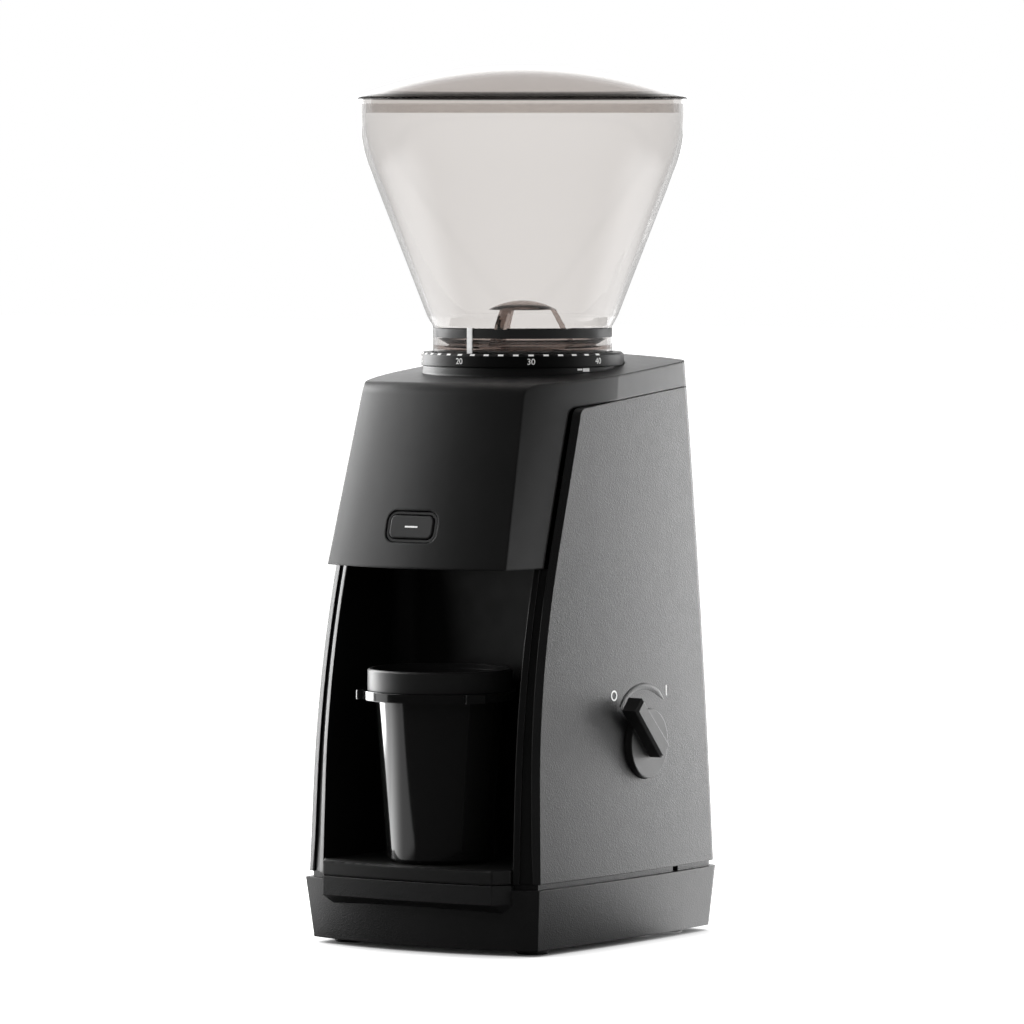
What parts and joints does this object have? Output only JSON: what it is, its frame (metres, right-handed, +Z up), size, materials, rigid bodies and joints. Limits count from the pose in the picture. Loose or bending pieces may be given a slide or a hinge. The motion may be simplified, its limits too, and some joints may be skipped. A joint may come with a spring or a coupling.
{
  "type": "burr coffee grinder",
  "caption": "Upright electric conical-burr coffee grinder with a clear bean hopper, numbered grind ring, front push button, side on/off knob and a dosing cup on a sliding tray.",
  "frame": {"origin": "on the floor, under the middle of the object's box", "axes": "+Z up, -Y out of the front with the button and the cup, +X to the side with the knob"},
  "size_m": [0.129, 0.1528, 0.3401],
  "materials": {
    "clear_smoke": "clear plastic with a light smoky tint",
    "case_black": "fine-grained black plastic",
    "cover_black": "smooth satin black plastic",
    "gloss_black": "glossy black plastic",
    "rubber_black": "black rubber",
    "burr_steel": "hardened ground steel",
    "steel": "plain steel",
    "bronze": "sintered bronze",
    "inner_plastic": "plain black moulded plastic",
    "gear_nylon": "off-white moulded nylon",
    "felt": "grey pressed felt",
    "board_green": "green circuit board with dark components"
  },
  "bodies": {
    "casing": {"top_cover": "cover_black", "left_case": "case_black", "right_case": "case_black", "bay_frame": "cover_black", "base": "case_black", "rubber_feet": "rubber_black", "bottom_cover": "case_black", "bottom_screws": "steel", "case_screws": "steel", "cord_gland": "rubber_black", "dial_ring": "cover_black", "grind_chamber": "inner_plastic", "chamber_screws": "steel", "cover_screws": "steel", "grounds_chute": "cover_black", "gearbox_housing": "inner_plastic", "gearbox_cover": "inner_plastic", "gearbox_screws": "steel", "idler_pin": "steel", "motor_can": "steel", "motor_end_cap": "inner_plastic", "motor_pads": "rubber_black", "thermal_cutoff": "inner_plastic", "upper_bearing": "steel", "lower_bearing": "bronze", "felt_washer": "felt", "button_bezel": "gloss_black", "pulse_switch_board": "board_green", "rotary_switch": "inner_plastic", "switch_nut": "steel", "control_board": "board_green", "board_screws": "steel"},
    "grind_ring": {"adjusting_ring": "inner_plastic"},
    "burr_carrier": {"ring_burr_holder": "inner_plastic", "ring_burr": "burr_steel"},
    "hopper_group": {"hopper": "clear_smoke", "bean_guard": "clear_smoke", "hopper_seal": "rubber_black"},
    "lid": {"hopper_lid": "clear_smoke"},
    "burr": {"cone_burr": "burr_steel", "cone_burr_nut": "steel", "drive_shaft": "steel", "grounds_sweeper": "inner_plastic", "output_gear": "gear_nylon"},
    "idler": {"idler_gear": "gear_nylon"},
    "rotor": {"motor_rotor": "steel", "motor_shaft": "steel", "motor_pinion": "steel"},
    "button": {"pulse_button": "gloss_black"},
    "knob": {"power_knob": "gloss_black", "switch_shaft": "steel"},
    "tray": {"cup_tray": "cover_black"},
    "cup": {"dosing_cup": "gloss_black"},
    "ring": {"cup_ring": "gloss_black"}
  },
  "joints": [
    {"name": "grind_adjust", "type": "hinge", "parent": "casing", "child": "grind_ring", "pos_m": [0, 0.01192, 0.215], "axis": [0, 0, 1], "range_deg": [-88, 84]},
    {"name": "burr_feed", "type": "slide", "parent": "casing", "child": "burr_carrier", "axis": [0, 0, 1], "range_m": [-0.001, 0.001]},
    {"name": "hopper_lift", "type": "slide", "parent": "grind_ring", "child": "hopper_group", "axis": [0, 0, 1], "range_m": [0, 0.06]},
    {"name": "lid_lift", "type": "slide", "parent": "hopper_group", "child": "lid", "axis": [0, 0, 1], "range_m": [0, 0.04]},
    {"name": "burr_spin", "type": "hinge", "parent": "casing", "child": "burr", "pos_m": [0, 0.01192, 0.2], "axis": [0, 0, 1], "continuous": true},
    {"name": "idler_spin", "type": "hinge", "parent": "casing", "child": "idler", "pos_m": [-0.02482, 0.02653, 0.16], "axis": [0, 0, 1], "continuous": true},
    {"name": "motor_spin", "type": "hinge", "parent": "casing", "child": "rotor", "pos_m": [0, 0.03392, 0.12], "axis": [0, 0, 1], "continuous": true},
    {"name": "button_press", "type": "slide", "parent": "casing", "child": "button", "axis": [0, 0.9629, -0.27], "range_m": [0, 0.0012], "stiffness_N_per_m": 500},
    {"name": "knob_turn", "type": "hinge", "parent": "casing", "child": "knob", "pos_m": [0.055, 0.01273, 0.0774], "axis": [-1, 0, 0], "range_deg": [0, 90]},
    {"name": "tray_slide", "type": "slide", "parent": "casing", "child": "tray", "axis": [0, -1, 0], "range_m": [0, 0.05]},
    {"name": "cup_slide", "type": "slide", "parent": "tray", "child": "cup", "axis": [0, -1, 0], "range_m": [0, 0.09]},
    {"name": "ring_lift", "type": "slide", "parent": "cup", "child": "ring", "axis": [0, 0, 1], "range_m": [0, 0.03]}
  ],
  "couplings": [
    {"joint": "burr_feed", "follows": "grind_adjust", "m_per_rad": 0.000637},
    {"joint": "idler_spin", "follows": "motor_spin", "ratio": -0.27586},
    {"joint": "burr_spin", "follows": "motor_spin", "ratio": 0.078818}
  ]
}
